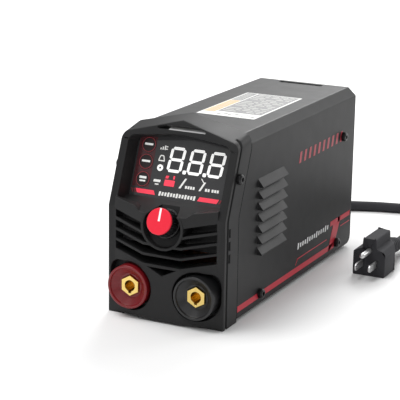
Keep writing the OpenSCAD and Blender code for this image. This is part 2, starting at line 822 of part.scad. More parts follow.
module fan_impeller() color("#262628") placed() translate([0, 0, fan_z]) {
  y0 = fan_y + 3.2;
  y1 = fan_y + fan_depth - 1.5;
  difference() {
    rod(hub_r, y0, y1);
    rod(hub_r - 2, y0 - 1, y1 - 2);
  }
  rod(2, fan_y + 0.6, y1 - 1);
  intersection() {
    union() for (k = [0:blade_n - 1]) rotate([0, k * 360 / blade_n, 0])
      translate([0, (y0 + y1) / 2, 0]) rotate([38, 0, 0])
        translate([hub_r - 1, -0.7, -13]) cube([fan_bore, 1.4, 26]);
    rod(fan_bore - 1.4, y0 + 0.5, y1 - 0.5);
  }
}

module fan_guard() color("#c4c5c8") placed() translate([0, rear_y + 1.1, fan_z]) {
  for (r = [10, 18.5, 27, 35.5]) rotate([90, 0, 0]) rotate_extrude() translate([r, 0]) circle(r = 1, $fn = 16);
  for (k = [0:3]) rotate([0, 45 + k * 90, 0]) difference() {
    union() {
      translate([9, 0.6, 0]) rotate([0, 90, 0]) cylinder(r = 0.9, h = fan_hole * sqrt(2) - 12.8, $fn = 16);
      translate([fan_hole * sqrt(2), 0, 0]) rod(4, -1, 0.4);
    }
    translate([fan_hole * sqrt(2), 0, 0]) rod(screw_r + screw_slip, -2, 2);
  }
}

module fan_screws() color("#b9babd") placed() fan_screw_places() difference() {
  union() {
    rod(screw_r - 0.15, fan_y + 4, rear_y + 1.6);
    translate([0, rear_y + 1.6, 0]) rotate([-90, 0, 0]) rotate_extrude() polygon([
      [0, 0], [3.6, 0], [3.2, 1.6], [1.6, 2.3], [0, 2.4]
    ]);
  }
  for (a = [0, 90]) rotate([0, a, 0]) box(-2, 2, rear_y + 3, rear_y + 5, -0.5, 0.5);
}

// --- power switch and cable gland -------------------------------------------

module switch_body() color("#141415") placed() translate([switch_x, rear_y, switch_z]) difference() {
  union() {
    slab(0.02, 1.8) polygon(rounded([
      [-switch_hw - 2, -switch_hh - 2], [switch_hw + 2, -switch_hh - 2],
      [switch_hw + 2, switch_hh + 2], [-switch_hw - 2, switch_hh + 2]
    ], [2, 2, 2, 2], 3));
    box(-switch_hw, switch_hw, -26, 0.5, -switch_hh, switch_hh);
    for (x = [-6, 6], z = [-7, 7]) box(x - 2.4, x + 2.4, -34, -25, z - 0.4, z + 0.4);
  }
  box(-switch_hw + 1.4, switch_hw - 1.4, -9.5, 5, -switch_hh + 1.4, switch_hh - 1.4);
}

// Rocker with two sloping faces; at rest its upper end is pressed in
module switch_rocker() color("#a01f26") placed() translate([switch_x, rear_y - 3, switch_z])
  span(-switch_hw + 1.4 + rocker_clear, switch_hw - 1.4 - rocker_clear) rotate(9) {
    h = switch_hh - 1.4 - rocker_clear;
    polygon([
      [-4.6, -4], [-1.6, -h + 0.5], [3.2, -h + 0.1], [4.6, -h + 0.6], [3.4, -3], [3.1, 0],
      [3.4, 3], [4.6, h - 0.6], [3.2, h - 0.1], [-1.6, h - 0.5], [-4.6, 4]
    ]);
  }

// Gland with a ribbed, tapered sleeve
module cable_gland() color("#1a1a1b") placed() translate([gland_x, 0, gland_z]) {
  translate([0, rear_y + 0.02, 0]) rotate([-90, 0, 0]) cylinder(r = 12, h = 7, $fn = 6);
  rod(gland_r, rear_y - rear_t - 9, rear_y + 1);
  translate([0, rear_y, 0]) rotate([-90, 0, 0]) rotate_extrude() polygon(concat(
    [[0, 6], [10, 6], [10, 10]],
    [for (k = [0:4], s = [0:3])
      let (z = 11 + k * 4.4 + [0, 2.2, 2.8, 3.8][s], r = 9.4 - (9.4 - gland_tip_r) * (z - 11) / 22)
      [r - (s > 1 ? 0.9 : 0), z]],
    [[gland_tip_r, gland_end - rear_y], [0, gland_end - rear_y]]
  ));
}

module gland_nut() color("#1a1a1b") placed() translate([gland_x, rear_y - rear_t - 0.05, gland_z]) difference() {
  rotate([90, 0, 0]) cylinder(r = 12, h = 5, $fn = 6);
  rod(gland_r + 0.1, -6, 1);
}

// --- electronics ------------------------------------------------------------

module main_board() color("#1f5f3a") placed() difference() {
  box(-board_half, board_half, board_y0, board_y1, board_z, board_top);
  for (x = [-board_half + 5, board_half - 5], y = [board_y0 + 6, (board_y0 + board_y1) / 2, board_y1 - 6])
    translate([x, y, board_z - 1]) cylinder(r = 1.6, h = 4);
}

module board_standoffs() color("#d0a54a") placed()
  for (x = [-board_half + 5, board_half - 5], y = [board_y0 + 6, (board_y0 + board_y1) / 2, board_y1 - 6])
    translate([x, y, floor_top + 0.02]) cylinder(r = 3, h = board_z - floor_top - 0.04);

module control_board() color("#1f5f3a") placed() {
  box(-board_half + 8, board_half - 8, board_y0 + 6, board_y0 + 6 + board_t, board_top + 46, cavity_top - 14);
  for (k = [0:4]) box(-28 + k * 12, -20 + k * 12, board_y0 + 2.6, board_y0 + 6, 88 + (k % 2) * 18, 96 + (k % 2) * 18);
}

// Finned heatsink: a base wall with fins towards the middle of the case
module heatsink(side, z0, z1) placed() {
  y0 = board_y0 + 84;
  y1 = board_y1 - 14;
  mirror([side < 0 ? 1 : 0, 0, 0]) {
    box(board_half - 10, board_half - 5, y0, y1, z0, z1);
    for (k = [0:6]) box(board_half - 28, board_half - 9.5, y0, y1, z0 + k * (z1 - z0 - 2) / 6, z0 + 2 + k * (z1 - z0 - 2) / 6);
  }
}

module heatsink_left() color("#b9bcc0") heatsink(-1, 42, 84);
module heatsink_right() color("#b9bcc0") heatsink(1, 42, 84);

module power_transistors() color("#1b1b1d") placed() for (k = [0:3])
  translate([-board_half + 0.2, board_y0 + 87 + k * 17, 56]) {
    cube([4.6, 15.6, 20.6]);
    for (p = [2.2, 7.2, 12.2]) translate([2, p, -56 + board_top]) cube([0.8, 1.2, 56 - board_z - board_t + 0.5]);
  }

module output_diodes() color("#1b1b1d") placed() for (k = [0:3])
  translate([board_half - 4.8, board_y0 + 87 + k * 17, 56]) {
    cube([4.6, 15.6, 20.6]);
    for (p = [2.2, 7.2, 12.2]) translate([2, p, -56 + board_top]) cube([0.8, 1.2, 56 - board_z - board_t + 0.5]);
  }

module transformer_core() color("#3c3d40") placed() translate([0, board_y0 + 26, board_top]) difference() {
  box(-27, 27, 0, 18, 0.02, 50);
  box(-19, -8, -1, 19, 9, 41);
  box(8, 19, -1, 19, 9, 41);
}

module transformer_winding() color("#d9a441") placed() translate([0, board_y0 + 26, board_top]) difference() {
  box(-18.5, 18.5, -9, 27, 10, 40);
  box(-8.2, 8.2, -0.2, 18.2, 9, 41);
}

module choke_core() color("#5a6b3c") placed() translate([0, board_y0 + 70, board_top + 24])
  rotate([90, 0, 0]) rotate_extrude() translate([14, -7]) square([8, 14]);

module choke_winding() color("#c77b4a") placed() translate([0, board_y0 + 70, board_top + 24])
  for (k = [0:9]) rotate([0, k * 30 - 45, 0]) difference() {
    box(11.6, 23.9, -9.2, 9.2, -1.5, 1.5);
    box(13.7, 22.3, -7.3, 7.3, -2, 2);
  }

module capacitors() color("#23345c") placed() for (k = [0:2])
  translate([0, board_y0 + 98 + k * 27, board_top + 0.02]) rotate_extrude() polygon([
    [0, 0], [11.5, 0], [12.5, 1], [12.5, 36], [11.5, 37], [0, 37]
  ]);

module bridge_rectifier() color("#202022") placed() translate([-34, board_y0 + 40, board_top + 0.02]) {
  box(-2.5, 2.5, -15, 15, 5, 27);
  for (k = [0:3]) box(-0.5, 0.5, -12 + k * 8 - 0.7, -12 + k * 8 + 0.7, 0, 6);
}

module current_sensor() color("#2b4f86") placed() translate([34, board_y0 + 40, board_top + 0.02]) difference() {
  box(-5, 5, -11, 11, 0, 22);
  box(-6, 6, -4, 4, 7, 16);
}

// Sheet that steers the fan's air over the heatsinks
module air_baffle() color("#d8d8d2") placed() difference() {
  box(-board_half + 12, board_half - 12, board_y0 + 80, board_y1 - 16, 92, 93);
  for (k = [0:2]) translate([0, board_y0 + 98 + k * 27, 90]) cylinder(r = 6, h = 5);
}

// --- mains cable and plug ---------------------------------------------------

module cord_lead() color("#19191a") swept_tube(lead_route, cord_d / 2);
module cord_tail() color("#19191a") swept_tube(tail_route, cord_d / 2);

module cord_coil() color("#19191a") translate([coil_at.x, coil_at.y, 0]) rotate_extrude()
  polygon(rounded([
    [coil_inner, 0], [coil_outer, 0], [coil_outer, coil_h - 8], [coil_outer - 8, coil_h],
    [coil_inner, coil_h]
  ], [3, 3, 3, 3, 4], 3));

module coil_tie() color("#0f0f10") translate([coil_at.x, coil_at.y, 0]) rotate([90, 0, 0])
  translate([0, 0, -tie_w / 2]) linear_extrude(tie_w) difference() {
    polygon(rounded([
      [coil_inner - tie_t, 0], [coil_outer + tie_t, 0], [coil_outer + tie_t, coil_h + tie_t],
      [coil_inner - tie_t, coil_h + tie_t]
    ], [0, 0, 5, 5], 4));
    polygon(rounded([
      [coil_inner, tie_t], [coil_outer, tie_t], [coil_outer, coil_h], [coil_inner, coil_h]
    ], [0, 0, 4, 4], 4));
  }

module at_plug() {
  translate([plug_at.x, plug_at.y, 0]) children();
}

module plug_body() color("#17171a") at_plug() difference() {
  intersection() {
    slab(0, plug_len) polygon(rounded([
      [-plug_half, 0], [plug_half, 0], [plug_half, 20], [12, 24],
      [6.8, 25.5], [6.2, 34.4], [-6.2, 34.4], [-6.8, 25.5], [-plug_half, 22]
    ], [1.5, 1.5, 2, 2, 1, 1.5, 1.5, 1, 2], 3));
    linear_extrude(40) polygon([
      [-plug_half, 0], [plug_half, 0], [plug_half, plug_len - 10], [10, plug_len], [-10, plug_len],
      [-plug_half, plug_len - 10]
    ]);
  }
  for (x = [-1, 1]) box(x * blade_gap / 2 - blade_w / 2, x * blade_gap / 2 + blade_w / 2, -1, 8,
    blade_z - blade_h / 2, blade_z + blade_h / 2);
  translate([0, 0, pin_z]) rod(pin_root_r + 0.02, -1, 8);
}

module plug_blades() color("#d2d3d6") at_plug() for (x = [-1, 1]) difference() {
  span(x * blade_gap / 2 - blade_w / 2, x * blade_gap / 2 + blade_w / 2) polygon([
    [7.9, blade_z - blade_h / 2], [7.9, blade_z + blade_h / 2], [-blade_len + 2, blade_z + blade_h / 2],
    [-blade_len, blade_z + 1.6], [-blade_len, blade_z - 1.6], [-blade_len + 2, blade_z - blade_h / 2]
  ]);
  translate([x * blade_gap / 2 - 3, -blade_len + 4.5, blade_z]) rotate([0, 90, 0]) cylinder(r = 1.5, h = 6);
}

module plug_ground_pin() color("#d2d3d6") at_plug() translate([0, 0, pin_z]) {
  rod(pin_r, -pin_len + pin_r, -0.02);
  rod(pin_root_r, -0.5, 7.9);
  translate([0, -pin_len + pin_r, 0]) sphere(r = pin_r);
}

module plug_strain_relief() color("#17171a") at_plug() difference() {
  translate([0, plug_len + 0.02, 17]) rotate([-100, 0, 0]) rotate_extrude() polygon(concat(
    [[0, -1.8], [9.6, -1.8], [9.6, 3]],
    [for (k = [0:4], s = [0:3])
      let (z = 4 + k * 6 + [0, 3.4, 4, 5.4][s], r = 9.4 - 2.9 * z / relief_len)
      [r - (s > 1 ? 1.1 : 0), z]],
    [[cord_d / 2 + 0.8, relief_len], [0, relief_len]]
  ));
  box(-20, 20, 0, plug_len + 0.02, -10, 50);
}

// --- the object -------------------------------------------------------------

front_panel();
display_window();
display_board();
led_digits();
button_switches();
button_upper();
button_middle();
button_lower();
knob_body();
knob_cap();
knob_pointer();
knob_spindle();
potentiometer();
socket_collar_left();
socket_collar_right();
socket_insert_left();
socket_insert_right();
socket_nuts();
busbar_left();
busbar_right();
housing_cover();
base_plate();
rear_panel();
rear_feet();
side_screws();
fan_frame();
fan_impeller();
fan_guard();
fan_screws();
switch_body();
switch_rocker();
cable_gland();
gland_nut();
main_board();
board_standoffs();
control_board();
heatsink_left();
heatsink_right();
power_transistors();
output_diodes();
transformer_core();
transformer_winding();
choke_core();
choke_winding();
capacitors();
bridge_rectifier();
current_sensor();
air_baffle();
cord_lead();
cord_coil();
cord_tail();
coil_tie();
plug_body();
plug_blades();
plug_ground_pin();
plug_strain_relief();
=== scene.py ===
"""Looks of a portable stick welding inverter: moulded front panel, printed display,
steel case with graphics, rear fan side and mains cable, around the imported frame.
Laid out as an add-on and run as a script."""
import math

import bmesh
import bpy
from bpy.props import FloatProperty, FloatVectorProperty, PointerProperty
from mathutils import Matrix, Vector
from mathutils.geometry import intersect_point_line


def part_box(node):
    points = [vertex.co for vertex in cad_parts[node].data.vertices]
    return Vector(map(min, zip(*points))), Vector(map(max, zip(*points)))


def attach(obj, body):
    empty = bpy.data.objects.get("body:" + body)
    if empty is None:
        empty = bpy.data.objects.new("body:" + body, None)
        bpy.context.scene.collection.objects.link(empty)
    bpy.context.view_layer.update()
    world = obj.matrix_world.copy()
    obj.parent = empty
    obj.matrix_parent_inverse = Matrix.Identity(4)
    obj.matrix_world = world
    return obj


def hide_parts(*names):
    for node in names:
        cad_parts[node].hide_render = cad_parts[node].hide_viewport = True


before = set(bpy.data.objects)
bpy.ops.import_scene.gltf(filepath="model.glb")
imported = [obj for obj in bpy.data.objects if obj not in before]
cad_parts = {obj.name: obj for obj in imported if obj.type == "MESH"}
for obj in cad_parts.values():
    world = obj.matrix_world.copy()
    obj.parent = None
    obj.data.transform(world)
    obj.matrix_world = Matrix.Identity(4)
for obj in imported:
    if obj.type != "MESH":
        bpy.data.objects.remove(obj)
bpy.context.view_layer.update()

bl_info = {
    "name": "Stick welding inverter",
    "version": (1, 0, 0),
    "blender": (4, 5, 0),
    "location": "3D View > Sidebar > Inverter",
    "description": "Builds the looks of a portable stick welding inverter around its frame",
    "category": "Object",
}

# Places on the case are in millimetres; bevels and print heights are in metres
MM = 0.001
RAKE = math.radians(22.0)  # lean of the raked face
KNEE_Z = 90.7  # height where the raked face starts
RING_FRONT = 7.0  # how far the knob's ring stands out in front of the front frame's face
GLASS_N = -13.7  # window's face, measured out from the raked face
HALF_W = 52.5
TOP_Z = 151.6
FRONT_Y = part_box("front_panel")[0].y / MM + RING_FRONT  # where the front frame's face stands
PRINT_LIFT = 0.01  # gap under a print, so that two faces never share a plane


# --- settings ----------------------------------------------------------------


def colour(name, description, value):
    return FloatVectorProperty(
        name=name, description=description, subtype="COLOR", size=3, min=0, max=1, default=value
    )


def length(name, description, value):
    return FloatProperty(name=name, description=description, unit="LENGTH", default=value)


class InverterColours(bpy.types.PropertyGroup):
    panel: colour("Front panel", "Moulded plastic of the front panel", (0.017, 0.017, 0.0175))
    cover: colour("Steel cover", "Powder coat on the steel cover", (0.014, 0.014, 0.0145))
    black: colour("Black parts", "Black plastic of the knob, fan and gland", (0.008, 0.008, 0.009))
    red: colour("Bright red", "Knob cap and printed stripes", (0.72, 0.012, 0.035))
    collar: colour("Red collar", "Collar of the left output socket", (0.19, 0.006, 0.010))
    brass: colour("Brass", "Socket inserts", (0.82, 0.60, 0.20))
    cable: colour("Cable jacket", "Mains cable and plug", (0.006, 0.006, 0.0065))
    floor: colour("Floor", "Pale studio floor", (0.86, 0.86, 0.86))


class InverterSizes(bpy.types.PropertyGroup):
    edge: length("Edge radius", "Softness of the moulded edges", 0.0006)
    sheet_edge: length("Sheet edge", "Softness of the sheet steel edges", 0.0003)
    print_height: length("Print height", "Thickness of printed marks", 0.00012)
    cable_d: length("Cable diameter", "Outer diameter of the mains cable", 0.010)
    digit_w: length("Digit width", "Width of one display digit", 0.0134)
    digit_h: length("Digit height", "Height of one display digit", 0.021)


def colours():
    return bpy.context.scene.inverter_colours


def sizes():
    return bpy.context.scene.inverter_sizes


# --- selection and shaping ----------------------------------------------------

SAME_PLACE = 1e-7  # metres
MERGE = 2e-5  # vertices closer than this become one, in metres
FLAT = math.radians(0.6)  # faces that turn less than this become one
SHARP = math.radians(35)  # edges that turn more than this are rounded
CREASE = math.radians(4)  # from here up to SHARP, an edge between two broad faces stays crisp
BROAD = 0.0025  # least width of a broad face, in metres
SMOOTH_ROUNDED = 55  # a rounded copy is shaded smooth up to this turn, in degrees
SMOOTH_PLAIN = 35
FAR = 1.0  # width of a face that nothing limits, in metres
MARKS = (0.02, 0.25, 0.5, 0.75, 0.98)  # where along an edge the room beside it is measured
LEAST_SPREAD = 0.25  # a neighbour that leans further along the edge doesn't limit it
SAFE = 0.9  # part of a neighbour's reach that may be used
EACH_SIDE = 0.45  # part of a face's width that the rounding of one edge may take
LEAST_WEIGHT = 0.12  # a smaller rounding is left out


def deselect():
    if bpy.context.object and bpy.context.object.mode != "OBJECT":
        bpy.ops.object.mode_set(mode="OBJECT")
    bpy.ops.object.select_all(action="DESELECT")


def take(obj):
    deselect()
    obj.select_set(True)
    bpy.context.view_layer.objects.active = obj
    return obj


def settle(obj, place=None):
    """Puts the object's place into its mesh."""
    if place is not None:
        obj.matrix_world = place @ obj.matrix_world
    take(obj)
    bpy.ops.object.transform_apply(location=True, rotation=True, scale=True)
    return obj


def apply_modifier(obj, kind, **values):
    take(obj)
    mod = obj.modifiers.new(kind.lower(), kind)
    for key, value in values.items():
        setattr(mod, key, value)
    bpy.ops.object.modifier_apply(modifier=mod.name)
    return obj


def join(pieces, name):
    take(pieces[0])
    for piece in pieces[1:]:
        piece.select_set(True)
    if len(pieces) > 1:
        bpy.ops.object.join()
    pieces[0].name = name
    pieces[0].data.name = name
    return pieces[0]


def smooth(obj, degrees):
    take(obj)
    bpy.ops.object.shade_smooth_by_angle(angle=math.radians(degrees), keep_sharp_edges=True)


def finish_piece(obj, body, material, replaces=()):
    obj.data.materials.clear()
    obj.data.materials.append(material)
    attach(obj, body)
    if replaces:
        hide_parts(*replaces)
    return obj


def place_on(x, y, z, right=(1, 0, 0), up=(0, 0, 1)):
    """Frame at a point in millimetres: local x runs right, y runs up, z comes out."""
    right = Vector(right).normalized()
    up = Vector(up).normalized()
    out = right.cross(up)
    basis = Matrix((right, up, out)).transposed().to_4x4()
    return Matrix.Translation(Vector((x, y, z)) * MM) @ basis


def on_face(x, v, n):
    """Frame on the raked face, from millimetres across, up the face and outwards."""
    y = FRONT_Y + v * math.sin(RAKE) - n * math.cos(RAKE)
    z = KNEE_Z + v * math.cos(RAKE) + n * math.sin(RAKE)
    return place_on(x, y, z, up=(0, math.sin(RAKE), math.cos(RAKE)))


def on_side(side, y, z, proud=0.0):
    """Frame on the case's side: local x runs to the rear on the right-hand side."""
    return place_on(side * (HALF_W + proud), FRONT_Y + y, z, right=(0, side, 0))


def on_top(x, y, proud=0.0):
    """Frame on the cover's top, with local y running to the rear."""
    return place_on(x, FRONT_Y + y, TOP_Z + proud, up=(0, 1, 0))


def outline(points, thick):
    """Flat plate whose outline is given in millimetres, standing proud by thick."""
    deselect()
    bpy.ops.mesh.primitive_circle_add(vertices=len(points), radius=1, fill_type="NGON")
    obj = bpy.context.object
    for vertex, (x, y) in zip(obj.data.vertices, points):
        vertex.co = (x * MM, y * MM, 0)
    take(obj)
    bpy.ops.object.mode_set(mode="EDIT")
    bpy.ops.mesh.select_all(action="SELECT")
    bpy.ops.mesh.normals_make_consistent(inside=False)
    bpy.ops.object.mode_set(mode="OBJECT")
    if obj.data.polygons[0].normal.z < 0:
        obj.data.flip_normals()
    return apply_modifier(obj, "SOLIDIFY", thickness=thick, offset=1)


def bar(x, y, w, h, thick, slant=0.0, corner=0.0):
    """Plate of width w and height h around (x, y); slant leans its top to the right."""
    s = slant * h / 2
    low, high = y - h / 2, y + h / 2
    left, right = x - w / 2, x + w / 2
    obj = outline([(left - s, low), (right - s, low), (right + s, high), (left + s, high)], thick)
    if corner:
        round_corners(obj, corner)
    return obj


def bars(rows, thick):
    """Plates from rows of x, y, width, height and, where the plate leans, slant."""
    return [bar(*row[:4], thick, *row[4:]) for row in rows]


def round_corners(obj, corner, steps=3):
    """Rounds the upright edges of a flat plate."""
    take(obj)
    bpy.ops.object.mode_set(mode="EDIT")
    mesh = bmesh.from_edit_mesh(obj.data)
    bpy.ops.mesh.select_all(action="DESELECT")
    for edge in mesh.edges:
        a, b = edge.verts
        if abs(a.co.x - b.co.x) < SAME_PLACE and abs(a.co.y - b.co.y) < SAME_PLACE:
            edge.select_set(True)
    bmesh.update_edit_mesh(obj.data)
    bpy.ops.mesh.bevel(offset=corner * MM, segments=steps, affect="EDGES")
    bpy.ops.object.mode_set(mode="OBJECT")


def disc(x, y, r, thick, inner=0.0, sides=40):
    """Round plate or ring around (x, y)."""
    deselect()
    bpy.ops.mesh.primitive_circle_add(
        vertices=sides, radius=r * MM, fill_type="NGON", location=(x * MM, y * MM, 0)
    )
    obj = bpy.context.object
    if inner:
        bpy.ops.object.mode_set(mode="EDIT")
        bpy.ops.mesh.select_all(action="SELECT")
        bpy.ops.mesh.inset(thickness=(r - inner) * MM)
        bpy.ops.mesh.delete(type="FACE")
        bpy.ops.object.mode_set(mode="OBJECT")
    settle(obj)
    return apply_modifier(obj, "SOLIDIFY", thickness=thick, offset=1)


def stray(point, a, b):
    """Distance from a point to the segment from a to b."""
    near, t = intersect_point_line(point, a, b)
    return (point - a.lerp(b, min(1.0, max(0.0, t)))).length


def edge_room(edge):
    """Free width of the two faces beside an edge, measured square to it."""
    room = FAR
    a, b = (v.co for v in edge.verts)
    along = b - a
    for face in edge.link_faces:
        for other in face.edges:
            if other is edge:
                continue
            c, d = (v.co for v in other.verts)
            if set(other.verts) & set(edge.verts):
                reach = d - c
                share = reach.dot(along) / max(along.length_squared, 1e-18)
                across = (reach - along * share).length
                if across > LEAST_SPREAD * reach.length:
                    room = min(room, across * SAFE)
            else:
                gaps = [stray(a.lerp(b, t), c, d) for t in MARKS]
                room = min(room, *gaps, stray(c, a, b), stray(d, a, b))
    return room


def weigh_edges(obj, width):
    """Bevel weights on the sharp edges, smaller where the faces beside an edge are narrow.
    A slight crease between two broad faces stays crisp."""
    mesh = bmesh.new()
    mesh.from_mesh(obj.data)
    weight = mesh.edges.layers.float.new("bevel_weight_edge")
    for edge in mesh.edges:
        if len(edge.link_faces) != 2:
            continue
        turn = edge.calc_face_angle(0)
        if turn > SHARP and width:
            share = min(1.0, EACH_SIDE * edge_room(edge) / width)
            edge[weight] = share if share > LEAST_WEIGHT else 0.0
        elif turn > CREASE and edge_room(edge) > BROAD:
            edge.smooth = False
    mesh.to_mesh(obj.data)
    mesh.free()


def softened(node, name, width, segments=2):
    """Copy of a CAD node with merged faces and rounded edges."""
    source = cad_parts[node]
    obj = source.copy()
    obj.data = source.data.copy()
    obj.name = name
    obj.data.name = name
    obj.parent = None
    for key in list(obj.keys()):
        del obj[key]
    bpy.context.scene.collection.objects.link(obj)
    take(obj)
    bpy.ops.mesh.customdata_custom_splitnormals_clear()
    bpy.ops.object.mode_set(mode="EDIT")
    bpy.ops.mesh.select_all(action="SELECT")
    bpy.ops.mesh.remove_doubles(threshold=MERGE)
    bpy.ops.mesh.dissolve_limited(angle_limit=FLAT)
    bpy.ops.mesh.vert_connect_concave()
    bpy.ops.object.mode_set(mode="OBJECT")
    weigh_edges(obj, width)
    if width:
        apply_modifier(
            obj, "BEVEL", width=width, segments=segments, limit_method="WEIGHT",
            use_clamp_overlap=False,
        )
    smooth(obj, SMOOTH_ROUNDED if width else SMOOTH_PLAIN)
    return apply_modifier(obj, "WEIGHTED_NORMAL", keep_sharp=True, mode="FACE_AREA")


# --- materials ----------------------------------------------------------------

FINE = 2500.0  # scale of the fine grain
BROAD_NOISE = 60.0  # scale of the soft mottle


def new_group(name, inputs, outputs):
    """Node group of number sockets: its tree, its input node and its output node."""
    tree = bpy.data.node_groups.new(name, "ShaderNodeTree")
    for label, value in inputs.items():
        socket = tree.interface.new_socket(
            name=label, in_out="INPUT", socket_type="NodeSocketFloat"
        )
        socket.default_value = value
    for label in outputs:
        tree.interface.new_socket(name=label, in_out="OUTPUT", socket_type="NodeSocketFloat")
    return tree, tree.nodes.new("NodeGroupInput"), tree.nodes.new("NodeGroupOutput")


def math_node(tree, operation, a, b):
    node = tree.nodes.new("ShaderNodeMath")
    node.operation = operation
    tree.links.new(a, node.inputs[0])
    tree.links.new(b, node.inputs[1])
    return node.outputs[0]


def grain_group():
    """Fine moulded or sprayed texture: a height from two scales of noise, and a soft mottle."""
    found = bpy.data.node_groups.get("surface_grain")
    if found:
        return found
    tree, given, result = new_group(
        "surface_grain", {"Fine": FINE, "Broad": BROAD_NOISE, "Mix": 0.3}, ("Height", "Mottle")
    )
    where = tree.nodes.new("ShaderNodeTexCoord").outputs["Object"]
    values = []
    for scale, detail in (("Fine", 2.0), ("Broad", 4.0)):
        noise = tree.nodes.new("ShaderNodeTexNoise")
        noise.inputs["Detail"].default_value = detail
        tree.links.new(where, noise.inputs["Vector"])
        tree.links.new(given.outputs[scale], noise.inputs["Scale"])
        values.append(noise.outputs["Fac"])
    broad = math_node(tree, "MULTIPLY", values[1], given.outputs["Mix"])
    tree.links.new(math_node(tree, "ADD", values[0], broad), result.inputs["Height"])
    tree.links.new(values[1], result.inputs["Mottle"])
    return tree


def ramp(tree, value, low, high):
    """Maps a 0 to 1 value onto low to high."""
    node = tree.nodes.new("ShaderNodeMapRange")
    node.inputs["To Min"].default_value = low
    node.inputs["To Max"].default_value = high
    tree.links.new(value, node.inputs["Value"])
    return node.outputs["Result"]


def tinted(tree, mottle, base, spread):
    """Colour that drifts a little around base."""
    mix = tree.nodes.new("ShaderNodeMix")
    mix.data_type = "RGBA"
    mix.inputs["A"].default_value = (*[c * (1 - spread) for c in base], 1)
    mix.inputs["B"].default_value = (*[min(1, c * (1 + spread)) for c in base], 1)
    tree.links.new(mottle, mix.inputs["Factor"])
    return mix.outputs["Result"]


def finish(name, base, rough=0.5, metallic=0.0, fine=FINE, broad=BROAD_NOISE, bump=0.1,
           depth=0.00002, spread=0.08, rough_spread=0.05, coat=0.0, coat_rough=0.1,
           specular=0.5, glow=0.0):
    """Material of one finish. Its colour and roughness drift by their spreads around base
    and rough, and fine and broad are the scales of its grain."""
    found = bpy.data.materials.get(name)
    if found:
        return found
    mat = bpy.data.materials.new(name)
    mat.use_nodes = True
    tree = mat.node_tree
    shader = tree.nodes["Principled BSDF"]
    shader.inputs["Metallic"].default_value = metallic
    shader.inputs["Specular IOR Level"].default_value = specular
    shader.inputs["Coat Weight"].default_value = coat
    shader.inputs["Coat Roughness"].default_value = coat_rough
    grain = tree.nodes.new("ShaderNodeGroup")
    grain.node_tree = grain_group()
    grain.inputs["Fine"].default_value = fine
    grain.inputs["Broad"].default_value = broad
    tree.links.new(tinted(tree, grain.outputs["Mottle"], base, spread), shader.inputs["Base Color"])
    dullness = ramp(tree, grain.outputs["Mottle"], rough - rough_spread, rough + rough_spread)
    tree.links.new(dullness, shader.inputs["Roughness"])
    bump_node = tree.nodes.new("ShaderNodeBump")
    bump_node.inputs["Strength"].default_value = bump
    bump_node.inputs["Distance"].default_value = depth
    tree.links.new(grain.outputs["Height"], bump_node.inputs["Height"])
    tree.links.new(bump_node.outputs["Normal"], shader.inputs["Normal"])
    if glow:
        shader.inputs["Emission Color"].default_value = (*base, 1)
        shader.inputs["Emission Strength"].default_value = glow
    return mat


def panel_plastic():
    return finish("moulded_panel_plastic", colours().panel, rough=0.5, fine=3200, bump=0.25,
                  depth=0.00004, specular=0.24)


def black_plastic():
    return finish("black_moulded_plastic", colours().black, rough=0.4, fine=3000, bump=0.2,
                  depth=0.00003)


def powder_coat():
    return finish("dark_powder_coat", colours().cover, rough=0.46, fine=1800, bump=0.3,
                  depth=0.00004, spread=0.06, specular=0.22)


def plated_steel():
    return finish("plated_steel", (0.62, 0.61, 0.58), rough=0.28, metallic=1, fine=900,
                  broad=120, bump=0.08, spread=0.1, rough_spread=0.1)


def chrome_wire():
    return finish("bright_wire", (0.78, 0.78, 0.79), rough=0.14, metallic=1, fine=400,
                  bump=0.03, spread=0.03)


def brass():
    return finish("turned_brass", colours().brass, rough=0.2, metallic=1, fine=700, broad=90,
                  bump=0.06, spread=0.08, rough_spread=0.08)


def copper():
    return finish("bare_copper", (0.80, 0.40, 0.26), rough=0.3, metallic=1, fine=800, spread=0.15)


def printed(name, base, glow=0.0):
    return finish(name, base, rough=0.45, fine=1500, bump=0.05, spread=0.02, glow=glow)


def rubber():
    return finish("cable_rubber", colours().cable, rough=0.68, fine=2200, bump=0.2,
                  depth=0.00004, specular=0.12)


def circuit_board():
    return finish("circuit_board", (0.02, 0.14, 0.06), rough=0.35, fine=300, broad=500,
                  bump=0.2, coat=0.4)


# --- stage ---------------------------------------------------------------------

CAMERA_AT = Vector((539.65, -1013.33 + FRONT_Y, 414.45)) * MM
CAMERA_TO = Vector((-35.1, 130.0 + FRONT_Y, 66.0)) * MM
CAMERA_ROLL = math.radians(0.90)
CAMERA_LENS = 135.342
SENSOR_W = 36
VIEW_REACH = 50  # metres
FLOOR_W = 12  # metres
WORLD_LIGHT = 0.46
# Each light: where it stands and what it faces in metres, its diameter and its power
LIGHTS = {
    "key_light": ((-0.8, -0.4, 2.3), (0, 0, 0.05), 1.7, 44),
    "back_light": ((-0.4, 1.8, 1.5), (0, 0, 0.1), 1.2, 32),
    "rim_light": ((1.1, 1.9, 0.95), (0.05, 0, 0.1), 1.2, 14),
    "front_fill": ((0.6, -1.9, 1.3), (0, -0.1, 0.08), 1.6, 4),
}


def area_light(name, at, to, size, power):
    data = bpy.data.lights.new(name, "AREA")
    data.shape = "DISK"
    data.size = size
    data.energy = power
    obj = bpy.data.objects.new(name, data)
    bpy.context.scene.collection.objects.link(obj)
    obj.location = at
    obj.rotation_euler = (Vector(to) - Vector(at)).to_track_quat("-Z", "Y").to_euler()


